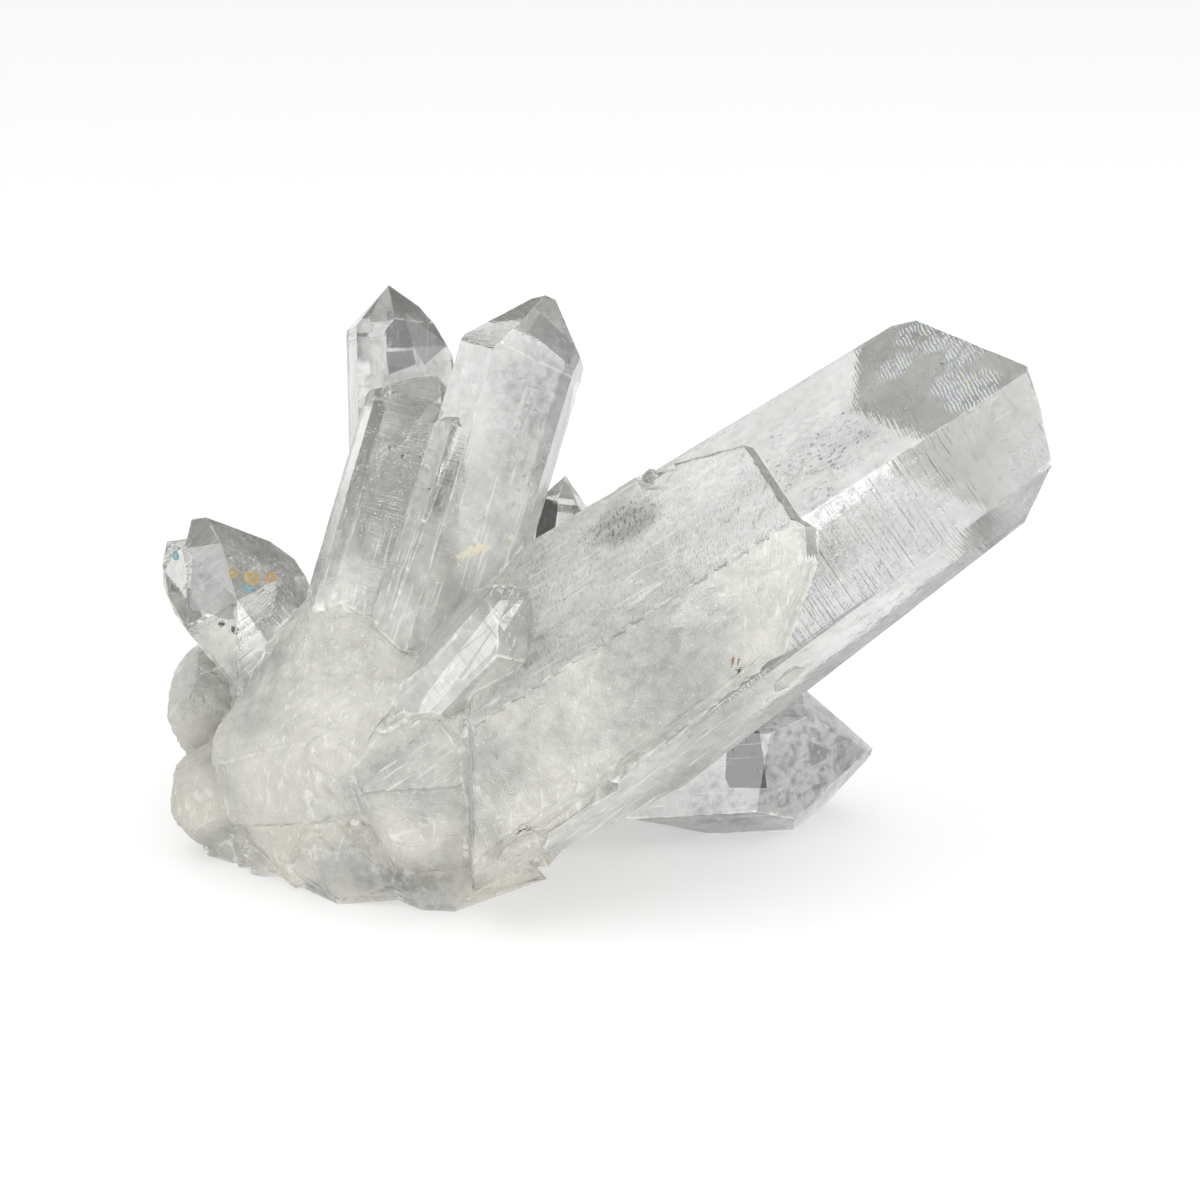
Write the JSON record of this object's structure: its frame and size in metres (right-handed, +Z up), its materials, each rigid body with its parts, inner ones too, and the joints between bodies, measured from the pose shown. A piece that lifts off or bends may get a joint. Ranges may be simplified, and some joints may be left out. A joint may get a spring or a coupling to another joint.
{
  "type": "quartz crystal cluster",
  "caption": "Cluster of clear, six-sided pointed quartz crystals fanning out from a rough broken base, the longest one leaning far out to one side.",
  "frame": {"origin": "middle of the bounding box, on the flat that the cluster rests on", "axes": "+X towards the end of the longest crystal, +Y away from the viewer of the picture, +Z up"},
  "size_m": [0.1434, 0.0864, 0.0911],
  "materials": {
    "quartz": "clear and glossy at the points, milky towards a rough base"
  },
  "bodies": {
    "root": {"quartz_cluster": "quartz"}
  },
  "joints": []
}
